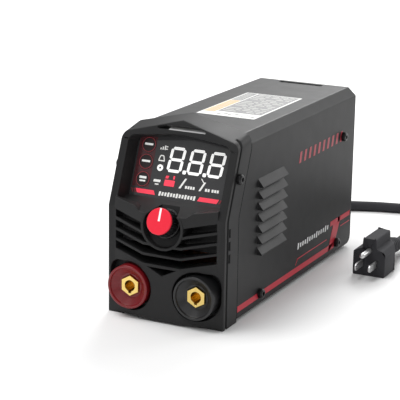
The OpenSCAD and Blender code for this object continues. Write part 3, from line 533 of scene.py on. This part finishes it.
class StageBuild(bpy.types.Operator):
    """Camera, pale floor and soft studio light"""

    bl_idname = "inverter.stage"
    bl_label = "Stage"

    def execute(self, context):
        scene = context.scene
        data = bpy.data.cameras.new("camera")
        data.lens = CAMERA_LENS
        data.sensor_width = SENSOR_W
        data.clip_end = VIEW_REACH
        camera = bpy.data.objects.new("camera", data)
        scene.collection.objects.link(camera)
        ahead = (CAMERA_TO - CAMERA_AT).normalized()
        right = ahead.cross(Vector((0, 0, 1))).normalized()
        up = right.cross(ahead)
        right, up = (
            right * math.cos(CAMERA_ROLL) + up * math.sin(CAMERA_ROLL),
            up * math.cos(CAMERA_ROLL) - right * math.sin(CAMERA_ROLL),
        )
        turn = Matrix((right, up, -ahead)).transposed().to_4x4()
        camera.matrix_world = Matrix.Translation(CAMERA_AT) @ turn
        scene.camera = camera
        scene.view_settings.view_transform = "Standard"
        scene.view_settings.look = "None"

        deselect()
        bpy.ops.mesh.primitive_plane_add(size=FLOOR_W, location=(0, 0, 0))
        floor = context.object
        floor.name = "floor"
        settle(floor)
        floor.data.materials.append(finish(
            "studio_floor", colours().floor, rough=0.7, fine=40, broad=3, bump=0.0, spread=0.01
        ))

        world = bpy.data.worlds.new("soft_room")
        scene.world = world
        world.use_nodes = True
        background = world.node_tree.nodes["Background"]
        background.inputs["Color"].default_value = (1, 1, 1, 1)
        background.inputs["Strength"].default_value = WORLD_LIGHT
        for name, values in LIGHTS.items():
            area_light(name, *values)
        return {"FINISHED"}


# --- mains cable ---------------------------------------------------------------

LEAD_ROUTE = [
    (-28, 162.1, 28), (-28, 172, 27.5), (-27, 183, 25), (-24.5, 195, 20.5),
    (-20, 207, 15.5), (-13.5, 219, 11), (-5, 230, 7.5), (5, 239, 5.6),
    (17, 246, 5), (32, 252, 5), (50, 257, 5), (70, 262, 5),
    (90, 266.5, 5), (110, 271, 5), (131, 275.6, 5),
]
TAIL_ROUTE = [
    (138, 158, 25), (125, 154.5, 22.2), (114, 148.5, 17.8),
    (106.2, 139.5, 13.2), (103, 128.5, 10.7), (102.2, 118.5, 10.4),
]
COIL_AT = (152.0, 216.0)
COIL_OUTER = 62.5
COIL_PITCH = 10.0  # from one turn, or one layer, to the next
COIL_INNER = COIL_OUTER - 2 * COIL_PITCH
COIL_FLOOR = 5.0  # height of the lowest layer's centreline
COIL_TURNS = 4.5
COIL_STEPS = 18  # points in a turn
CLIMB = 0.2  # part of a turn that the cable takes to climb a layer
JACKET_SLACK = 0.00002  # how much slimmer the curve is than the solids that it stands for


def eased(t):
    """Runs from 0 to 1 with a level start and end."""
    t = min(1.0, max(0.0, t))
    return t * t * (3 - 2 * t)


def coil_route():
    """Two turns inwards on the floor, two outwards on top of them, and half a turn on those."""
    points = []
    for i in range(int(COIL_TURNS * COIL_STEPS) + 1):
        turn = i / COIL_STEPS
        if turn <= 2:
            radius = COIL_OUTER - COIL_PITCH * turn
        elif turn <= 4:
            radius = COIL_INNER + COIL_PITCH * (turn - 2)
        else:
            radius = COIL_OUTER - COIL_PITCH * (turn - 4)
        layers = eased((turn - 1.9) / CLIMB) + eased((turn - 3.9) / CLIMB)
        angle = math.pi / 2 - turn * 2 * math.pi
        points.append((
            COIL_AT[0] + radius * math.cos(angle),
            COIL_AT[1] + radius * math.sin(angle),
            COIL_FLOOR + COIL_PITCH * layers,
        ))
    return points


class CableBuild(bpy.types.Operator):
    """Mains cable on the floor, its coil, tie, strain relief and plug"""

    bl_idname = "inverter.cable"
    bl_label = "Mains cable"

    def execute(self, context):
        route = LEAD_ROUTE + coil_route() + TAIL_ROUTE
        data = bpy.data.curves.new("mains_cable", "CURVE")
        data.dimensions = "3D"
        data.bevel_depth = sizes().cable_d / 2 - JACKET_SLACK
        data.bevel_resolution = 5
        data.resolution_u = 6
        data.use_fill_caps = True
        spline = data.splines.new("BEZIER")
        spline.bezier_points.add(len(route) - 1)
        for point, at in zip(spline.bezier_points, route):
            point.co = Vector(at) * MM
            point.handle_left_type = point.handle_right_type = "AUTO"
        cable = bpy.data.objects.new("mains_cable", data)
        context.scene.collection.objects.link(cable)
        cable.data.materials.append(rubber())
        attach(cable, "case")
        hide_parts("cord_lead", "cord_coil", "cord_tail")
        tie = softened("coil_tie", "cable_tie", 0.0006)
        finish_piece(tie, "case", black_plastic(), ["coil_tie"])
        plug = softened("plug_body", "plug_moulding", 0.0009, segments=3)
        finish_piece(plug, "case", rubber(), ["plug_body"])
        relief = softened("plug_strain_relief", "plug_relief", 0.0003)
        finish_piece(relief, "case", rubber(), ["plug_strain_relief"])
        blades = softened("plug_blades", "plug_flat_blades", 0.0002)
        finish_piece(blades, "case", plated_steel(), ["plug_blades"])
        pin = softened("plug_ground_pin", "plug_round_pin", 0)
        finish_piece(pin, "case", plated_steel(), ["plug_ground_pin"])
        return {"FINISHED"}


# --- front panel ---------------------------------------------------------------

# Top of the bar in the brow's slot, where a pale plate paints the light on the shaded bar
STRAP_X = (-11.5, 21.4)
STRAP_Z = TOP_Z + 0.7  # height of its front edge
STRAP_BACK = 0.3  # how far its front edge stands behind the raked face
STRAP_RUN = 7.0
STRAP_RISE = 1.7
STRAP_LIFT = 0.02


class PanelBuild(bpy.types.Operator):
    """Moulded front panel with its grille, brow and display recess"""

    bl_idname = "inverter.panel"
    bl_label = "Front panel"

    def execute(self, context):
        panel = softened("front_panel", "moulded_front", sizes().edge)
        finish_piece(panel, "case", panel_plastic(), ["front_panel"])
        self.strap_bar_painted_light()
        return {"FINISHED"}

    def strap_bar_painted_light(self):
        """Pale plate on the bar in the brow's slot: painted light, so that the bar, shaded by the
        slot's roof, reads as lit.
        """
        foot = (STRAP_Z - KNEE_Z) * math.tan(RAKE) + STRAP_BACK
        wide, deep = STRAP_X[1] - STRAP_X[0], math.hypot(STRAP_RUN, STRAP_RISE)
        face = bar(0, 0, wide, deep, sizes().print_height)
        y = FRONT_Y + foot + STRAP_RUN / 2
        z = STRAP_Z + STRAP_RISE / 2 + STRAP_LIFT
        settle(face, place_on(sum(STRAP_X) / 2, y, z, up=(0, STRAP_RUN, STRAP_RISE)))
        face.name = "strap_bar_painted_light"
        # Pale grey here is painted light on the bar, not the colour of its plastic
        grey = finish("painted_light_grey", (0.5, 0.5, 0.5), rough=0.5, fine=1500, bump=0.05,
                      spread=0.03)
        finish_piece(face, "case", grey)


# --- display -------------------------------------------------------------------

# Places on the window are x across and v up the raked face
LIT_N = GLASS_N - 0.05  # back of the lit marks, just inside the window
DIGIT_X = (-6.25, 11.75, 29.75)
DIGIT_V = 44.8
DIGIT_LEAN = 0.085
SEGMENT_T = 2.35
SEGMENT_GAP = 0.3
SEGMENT_TIP = 0.75  # length of a segment's mitre, as a part of half its width
SEGMENT_CORNER = 0.45
DOT_AT = ((2.6, 35.6), (20.6, 35.6))
DOT_W = 3.1
FOOT_V = 16.0  # row of marks along the window's foot
SIGNAL_HEIGHTS = (1.6, 2.6, 3.6)
# Rows of x, v, width, height and, where the mark leans, slant
ICONS = [
    (-16.6, 54.4, 1.6, 0.8), (-16.6, 52.4, 1.6, 0.8),
    (-19.5, 42.6, 5.6, 1.0), (-21.6, 44.8, 0.9, 3.6, 0.3),
    (-17.6, 44.8, 0.9, 3.6, -0.3), (-19.6, 46.8, 3.0, 0.9),
    (-20.2, 26.0, 6.2, 2.0, 0.15), (-20.0, 23.2, 3.4, 1.0),
    (3.2, 26.6, 1.7, 8.4, 0.52), (20.8, 26.2, 1.7, 7.4, 0.5), (20.2, 31.0, 1.0, 3.0, -0.8),
]
UNIT_DASH_X = (6.6, 8.9, 11.2, 13.5, 24.6, 26.9, 30.4, 32.7, 35.0)
UNIT_DASH_V = 23.9
RED_BARS = [
    (-11.6, 30.0, 2.6, 2.2, 0.3), (-5.4, 30.2, 1.4, 2.8),
    (-28.9, FOOT_V, 16.6, 3.5, -0.5), (28.0, FOOT_V, 17.2, 3.5, 0.5),
]
DARK_SLASHES = [
    (-38.6, FOOT_V, 1.4, 3.3, -0.5), (-41.0, FOOT_V, 1.0, 3.0, -0.5),
    (38.6, FOOT_V, 1.4, 3.3, 0.5), (41.0, FOOT_V, 0.9, 3.0, 0.5),
]
BUTTON_X = -33.2
BUTTON_V = {"upper": 54.3, "middle": 40.3, "lower": 25.8}
BUTTON_HOLE = 6.45  # radius of the gap in the tinted band round a key
BUTTON_N = GLASS_N + 0.4 - 0.02  # back of the marks on a key
KEY_RING = (5.65, 6.1)
BAND_X = (-42.1, -26.5)
BAND_V = (21.0, 61.4)
BAND_LEAST = 0.3  # a lower strip between two keys is left out
ARC_STEPS = 16


def segment(x, v, shape, thick):
    """One lit segment, leaning with its digit."""
    part = outline([(x + a + DIGIT_LEAN * b, v + b) for a, b in shape], thick)
    round_corners(part, SEGMENT_CORNER, 2)
    return part


def digit(x, v, w, h, thick):
    """Seven lit segments of one digit, with mitred ends and gaps between them."""
    half = SEGMENT_T / 2
    tip = half * SEGMENT_TIP
    span = (w - SEGMENT_T) / 2
    rise = (h - SEGMENT_T) / 2
    end = span - SEGMENT_GAP
    parts = []
    for y in (-rise, 0, rise):
        parts.append(segment(x, v, [
            (-end, y), (-end + tip, y - half), (end - tip, y - half),
            (end, y), (end - tip, y + half), (-end + tip, y + half),
        ], thick))
    for mid in (-span, span):
        for low in (-rise, 0):
            a, b = low + SEGMENT_GAP, low + rise - SEGMENT_GAP
            parts.append(segment(x, v, [
                (mid, a), (mid + half, a + tip), (mid + half, b - tip),
                (mid, b), (mid - half, b - tip), (mid - half, a + tip),
            ], thick))
    return parts


class DisplayBuild(bpy.types.Operator):
    """Tinted window with lit digits, icons, touch buttons and printed bars"""

    bl_idname = "inverter.display"
    bl_label = "Display"

    def execute(self, context):
        thick = sizes().print_height
        window = softened("display_window", "display_glass", 0)
        glass = finish("display_window_glass", (0.040, 0.040, 0.042), rough=0.16, fine=200,
                       bump=0.0, spread=0.1, rough_spread=0.03, coat=0.5, coat_rough=0.06)
        finish_piece(window, "case", glass, ["display_window"])
        self.digits(thick)
        self.icons(thick)
        self.red_marks(thick)
        self.button_band(thick / 2)
        rim = finish("button_rim_red", (0.33, 0.04, 0.05), rough=0.3, fine=600, bump=0.05, glow=0.1)
        for name, v in BUTTON_V.items():
            self.touch_key(name, v, thick, rim)
        return {"FINISHED"}

    def digits(self, thick):
        """Three lit digits, their points and the ring beside them."""
        w, h = sizes().digit_w / MM, sizes().digit_h / MM
        lit = [part for x in DIGIT_X for part in digit(x, DIGIT_V, w, h, thick)]
        lit += [bar(x, v, DOT_W, DOT_W, thick, corner=0.9) for x, v in DOT_AT]
        lit.append(disc(-19.6, 36.8, 2.7, thick, inner=0.9))
        self.lay(lit, "lit_digits", printed("lit_white", (0.9, 0.9, 0.89), glow=0.45))

    def icons(self, thick):
        """Small pale marks round the digits and a row of dashes along the foot."""
        marks = [
            bar(-22.0 + k * 1.9, 51.6 + height / 2, 1.1, height, thick)
            for k, height in enumerate(SIGNAL_HEIGHTS)
        ]
        marks += bars(ICONS, thick)
        marks += [bar(x, UNIT_DASH_V, 1.7, 2.3, thick) for x in UNIT_DASH_X]
        marks += [
            bar(-15.6 + k * 2.6, FOOT_V, 1.7, 2.9 if k % 3 else 3.6, thick, slant=0.1)
            for k in range(13)
        ]
        self.lay(marks, "lit_icons", printed("dim_white", (0.72, 0.72, 0.70), glow=0.35))

    def red_marks(self, thick):
        red = [bar(-8.8, 25.3, 9.2, 5.0, thick, slant=0.05, corner=0.5), *bars(RED_BARS, thick)]
        self.lay(red, "red_bars", printed("lit_red", (0.85, 0.05, 0.09), glow=0.45))
        dark = printed("dark_red_print", (0.24, 0.02, 0.03))
        self.lay(bars(DARK_SLASHES, thick), "dark_red_slashes", dark)

    def button_band(self, thick):
        """Tinted band with a round gap for each key."""
        left, right = BAND_X
        keys = sorted(BUTTON_V.values())
        gaps = [v + half for v in keys for half in (-BUTTON_HOLE, BUTTON_HOLE)]
        edges = [BAND_V[0], *gaps, BAND_V[1]]
        band = [
            bar((left + right) / 2, (low + high) / 2, right - left, high - low, thick)
            for low, high in zip(edges[::2], edges[1::2])
            if high - low > BAND_LEAST
        ]
        turns = [math.pi * k / ARC_STEPS for k in range(ARC_STEPS + 1)]
        for v in BUTTON_V.values():
            for side, edge in ((-1, left), (1, right)):
                points = [
                    (BUTTON_X + side * BUTTON_HOLE * math.sin(a), v - BUTTON_HOLE * math.cos(a))
                    for a in turns
                ]
                points += [(edge, v + BUTTON_HOLE), (edge, v - BUTTON_HOLE)]
                band.append(outline(points, thick))
        tint = finish("tinted_band", (0.075, 0.018, 0.022), rough=0.2, fine=300, bump=0.0,
                      coat=0.5, coat_rough=0.08)
        self.lay(band, "tinted_button_band", tint)

    def touch_key(self, name, v, thick, rim):
        """One key with its red ring and white mark; the lowest key has a second bar."""
        body = f"{name}_button"
        node = f"button_{name}"
        plastic = finish("key_plastic", (0.022, 0.014, 0.015), rough=0.3, fine=700, bump=0.05)
        finish_piece(softened(node, f"touch_key_{name}", 0.0003), body, plastic, [node])
        inner, outer = KEY_RING
        ring = disc(BUTTON_X, v, outer, thick, inner=inner, sides=56)
        settle(ring, on_face(0, 0, BUTTON_N))
        ring.name = f"key_ring_{name}"
        finish_piece(ring, body, rim)
        if name == "lower":
            marks = [bar(BUTTON_X, v + 1.4, 6.4, 1.9, thick, corner=0.3),
                     bar(BUTTON_X, v - 1.4, 5.4, 1.3, thick)]
        else:
            marks = [bar(BUTTON_X, v + 0.4, 7.6, 1.7, thick, corner=0.3)]
        label = join(marks, f"key_mark_{name}")
        settle(label, on_face(0, 0, BUTTON_N))
        white = printed("key_white", (0.8, 0.82, 0.8), glow=0.3)
        finish_piece(label, body, white)

    def lay(self, marks, name, material):
        """Joins marks into one piece on the window."""
        piece = join(marks, name)
        settle(piece, on_face(0, 0, LIT_N))
        finish_piece(piece, "case", material)


# --- knob ----------------------------------------------------------------------


class KnobBuild(bpy.types.Operator):
    """Fluted current knob with its red cap and white pointer"""

    bl_idname = "inverter.knob"
    bl_label = "Knob"

    def execute(self, context):
        body = softened("knob_body", "knob_grip", 0.0003)
        finish_piece(body, "knob", black_plastic(), ["knob_body"])
        cap = softened("knob_cap", "knob_red_cap", 0.0002)
        # The cap's glow is painted light: the red plastic is no lamp
        red = finish("knob_cap_red_painted_glow", colours().red, rough=0.38, fine=1500, bump=0.06, spread=0.03,
                     glow=0.25)
        finish_piece(cap, "knob", red, ["knob_cap"])
        line = softened("knob_pointer", "knob_line", 0)
        # The pointer's glow is painted light: the printed line is no lamp
        white = printed("pointer_white_painted_glow", (0.9, 0.9, 0.9), glow=0.15)
        finish_piece(line, "knob", white, ["knob_pointer"])
        return {"FINISHED"}


# --- output sockets -------------------------------------------------------------


class SocketBuild(bpy.types.Operator):
    """Red and black output sockets with brass inserts"""

    bl_idname = "inverter.sockets"
    bl_label = "Output sockets"

    def execute(self, context):
        dark_red = finish("collar_dark_red", colours().collar, rough=0.34, fine=1800, bump=0.12)
        black = finish("collar_black", (0.012, 0.012, 0.013), rough=0.36, fine=1800, bump=0.12)
        for side, slot, material in (
            ("left", "red_collar", dark_red), ("right", "black_collar", black),
        ):
            collar = softened(f"socket_collar_{side}", f"collar_{side}", 0.0007, segments=3)
            finish_piece(collar, "case", material, [f"socket_collar_{side}"])
            insert = softened(f"socket_insert_{side}", f"brass_insert_{side}", 0.0004)
            finish_piece(insert, "case", brass(), [f"socket_insert_{side}"])
        return {"FINISHED"}


# --- case ----------------------------------------------------------------------


class CaseBuild(bpy.types.Operator):
    """Steel cover, base, rear panel, feet and screws"""

    bl_idname = "inverter.case"
    bl_label = "Case"

    def execute(self, context):
        cover = softened("housing_cover", "steel_cover", sizes().sheet_edge)
        finish_piece(cover, "case", powder_coat(), ["housing_cover"])
        base = softened("base_plate", "steel_base", sizes().sheet_edge)
        finish_piece(base, "case", powder_coat(), ["base_plate"])
        rear = softened("rear_panel", "rear_plate", 0.0004)
        finish_piece(rear, "case", panel_plastic(), ["rear_panel"])
        feet = softened("rear_feet", "rubber_feet", 0.0003)
        finish_piece(feet, "case", rubber(), ["rear_feet"])
        screws = softened("side_screws", "black_screws", 0.0002)
        oxide = finish("black_oxide", (0.012, 0.012, 0.013), rough=0.3, metallic=0.4, fine=900,
                       bump=0.1)
        finish_piece(screws, "case", oxide, ["side_screws"])
        return {"FINISHED"}


# --- graphics ------------------------------------------------------------------

# Outlines on the side, measured back from the front frame's face and up: three broad stripes,
# then two thin lines and the short stroke that leads into the first
SIDE_STRIPES = [
    [(25.6, 8.4), (222, 8.4), (231.5, 13.4), (25.6, 13.4)],
    [(218, 8.4), (231.5, 8.4), (245, 31), (245, 35.4), (222, 35.4), (222, 31), (229, 31)],
    [(240, 30.8), (269.5, 30.8), (269.5, 35.4), (240, 35.4)],
    [(147, 20.2), (214, 20.2), (214, 21.0), (147, 21.0)],
    [(142.5, 15.4), (143.4, 15.4), (147.4, 20.2), (146.6, 21.0)],
    [(247, 25.0), (269.5, 25.0), (269.5, 25.9), (247, 25.9)],
]
# Label on the cover's top: rows of x, distance back, width and height
LABEL_FIELD = [(8.2, 156.5, 39.6, 83), (-17.8, 181, 9.4, 34)]
LABEL_TAN = [(-17.8, 147, 9.4, 30), (-17.8, 120, 9.4, 20)]
LABEL_CUTS = ((0, 14, 22, 31, 37), (0, 9.5, 15.5, 27, 37))  # where even and odd rows break


class GraphicsBuild(bpy.types.Operator):
    """Printed stripes on both sides and the rating label's blank print on the top"""

    bl_idname = "inverter.graphics"
    bl_label = "Graphics"

    def execute(self, context):
        thick = sizes().print_height
        stripe_red = printed("stripe_red", (0.52, 0.014, 0.035))
        slash_red = printed("slash_red", (0.33, 0.02, 0.035))
        white = printed("mark_white", (0.8, 0.8, 0.8))
        for side, name in ((1, "right"), (-1, "left")):
            stripes = [outline(points, thick) for points in SIDE_STRIPES]
            self.lay(stripes, f"side_stripes_{name}", side, stripe_red)
            slashes = [bar(147 + k * 10.4, 112, 4.4, 9.6, thick, slant=0.25) for k in range(10)]
            self.lay(slashes, f"red_slashes_{name}", side, slash_red)
            ticks = [
                bar(148 + k * 5.2, 32, 2.4, 3.8 if k % 4 else 5.6, thick, slant=0.2)
                for k in range(14)
            ]
            self.lay(ticks, f"white_ticks_{name}", side, white)
        self.rating_label(thick)
        return {"FINISHED"}

    def rating_label(self, thick):
        """Label with a white rim, a grey field, tan and white blocks and rows of plain dashes."""
        rim = [bar(3, 149, 54, 102, thick, corner=1.0)]
        self.lift(rim, "top_label", 0, printed("label_white", (0.74, 0.74, 0.72)))
        grey = printed("label_grey", (0.20, 0.20, 0.20))
        self.lift(bars(LABEL_FIELD, thick), "top_label_field", 1, grey)
        tan = printed("label_tan", (0.72, 0.42, 0.18))
        self.lift(bars(LABEL_TAN, thick), "top_label_tan", 1, tan)
        dashes = []
        for k in range(13):
            cuts = LABEL_CUTS[k % 2]
            for a, b in zip(cuts, cuts[1:]):
                if (k * 3 + a) % 5 != 4:
                    at = (-10.4 + (a + b) / 2, 119.5 + k * 6.1)
                    dashes.append(bar(*at, b - a - 2.2, 1.5, thick))
        dashes += [bar(-17.8, 112.5 + k * 4.6, 6.6, 1.1, thick) for k in range(18)]
        self.lift(dashes, "top_label_rows", 2, printed("label_pale", (0.62, 0.62, 0.60)))
        dark = [bar(-6 + k * 5.2, 104.5 + (k % 2) * 3.4, 3.4, 1.4, thick) for k in range(7)]
        self.lift(dark, "top_label_dark", 1, printed("label_dark", (0.05, 0.05, 0.05)))

    def lift(self, marks, name, level, material):
        """Joins marks into one piece on the cover's top, level prints above it."""
        piece = join(marks, name)
        step = sizes().print_height / MM + PRINT_LIFT
        settle(piece, on_top(0, 0, PRINT_LIFT + level * step))
        finish_piece(piece, "case", material)

    def lay(self, marks, name, side, material):
        """Joins marks into one piece on a side; the left side mirrors the right."""
        piece = join(marks, name)
        if side < 0:
            for vertex in piece.data.vertices:
                vertex.co.x = -vertex.co.x
            piece.data.flip_normals()
        settle(piece, on_side(side, 0, 0, PRINT_LIFT))
        finish_piece(piece, "case", material)


# --- rear ----------------------------------------------------------------------


class RearBuild(bpy.types.Operator):
    """Fan, wire guard, power switch and cable gland"""

    bl_idname = "inverter.rear"
    bl_label = "Rear fittings"

    def execute(self, context):
        for node, name, width, body, slot, material in (
            ("fan_frame", "fan_housing", 0.0004, "case", "knob_plastic", black_plastic()),
            ("fan_impeller", "fan_rotor_blades", 0.0002, "fan_rotor", "knob_plastic",
             black_plastic()),
            ("fan_guard", "fan_wire_guard", 0, "case", "chrome_wire", chrome_wire()),
            ("fan_screws", "fan_guard_screws", 0.0002, "case", "plated_steel", plated_steel()),
            ("switch_body", "switch_housing", 0.0003, "case", "knob_plastic", black_plastic()),
            ("cable_gland", "gland_sleeve", 0.0003, "case", "knob_plastic", black_plastic()),
        ):
            finish_piece(softened(node, name, width), body, material, [node])
        rocker = softened("switch_rocker", "switch_key", 0.0006, segments=3)
        red = finish("rocker_red", (0.42, 0.01, 0.02), rough=0.25, fine=600, bump=0.03, coat=0.4)
        finish_piece(rocker, "rocker", red, ["switch_rocker"])
        return {"FINISHED"}


# --- inside --------------------------------------------------------------------


class InsideBuild(bpy.types.Operator):
    """Finishes of the electronics that show through the grille and vents"""

    bl_idname = "inverter.inside"
    bl_label = "Electronics"

    def execute(self, context):
        dark = finish("black_epoxy", (0.02, 0.02, 0.02), rough=0.5, fine=900, bump=0.2)
        alu = finish("extruded_aluminium", (0.70, 0.71, 0.72), rough=0.35, metallic=1, fine=300,
                     bump=0.15)
        ferrite = finish("ferrite", (0.05, 0.05, 0.055), rough=0.7, fine=700, bump=0.4)
        sleeve = finish("capacitor_sleeve", (0.02, 0.05, 0.18), rough=0.25, fine=300, bump=0.03,
                        coat=0.3)
        pale = printed("pale_plastic", (0.7, 0.7, 0.66))
        nodes_in = (
            (circuit_board(), ("display_board", "main_board", "control_board")),
            (dark, ("led_digits", "button_switches", "power_transistors", "output_diodes",
                    "bridge_rectifier")),
            (plated_steel(), ("knob_spindle", "potentiometer", "socket_nuts")),
            (copper(), ("busbar_left", "busbar_right", "transformer_winding", "choke_winding")),
            (brass(), ("board_standoffs",)),
            (alu, ("heatsink_left", "heatsink_right")),
            (ferrite, ("transformer_core", "choke_core")),
            (sleeve, ("capacitors", "current_sensor")),
            (pale, ("air_baffle",)),
            (black_plastic(), ("gland_nut",)),
        )
        for material, nodes in nodes_in:
            for node in nodes:
                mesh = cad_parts[node].data
                mesh.materials.clear()
                mesh.materials.append(material)
        return {"FINISHED"}


# --- panel and registration ------------------------------------------------------

BUILDERS = [
    StageBuild, CableBuild, PanelBuild, DisplayBuild, KnobBuild, SocketBuild, CaseBuild,
    GraphicsBuild, RearBuild, InsideBuild,
]


class InverterPanel(bpy.types.Panel):
    """Lists the pieces and the sizes and colours that they use"""

    bl_idname = "VIEW3D_PT_inverter"
    bl_label = "Stick welding inverter"
    bl_space_type = "VIEW_3D"
    bl_region_type = "UI"
    bl_category = "Inverter"

    def draw(self, context):
        for group in (context.scene.inverter_sizes, context.scene.inverter_colours):
            for key in group.__annotations__:
                self.layout.prop(group, key)
        for builder in BUILDERS:
            self.layout.operator(builder.bl_idname)


CLASSES = [InverterColours, InverterSizes, *BUILDERS, InverterPanel]


def register():
    for cls in CLASSES:
        bpy.utils.register_class(cls)
    bpy.types.Scene.inverter_colours = PointerProperty(type=InverterColours)
    bpy.types.Scene.inverter_sizes = PointerProperty(type=InverterSizes)


def unregister():
    del bpy.types.Scene.inverter_sizes
    del bpy.types.Scene.inverter_colours
    for cls in reversed(CLASSES):
        bpy.utils.unregister_class(cls)


def main():
    register()
    for builder in BUILDERS:
        group, name = builder.bl_idname.split(".")
        getattr(getattr(bpy.ops, group), name)()
    bpy.context.view_layer.update()


if __name__ == "__main__":
    main()
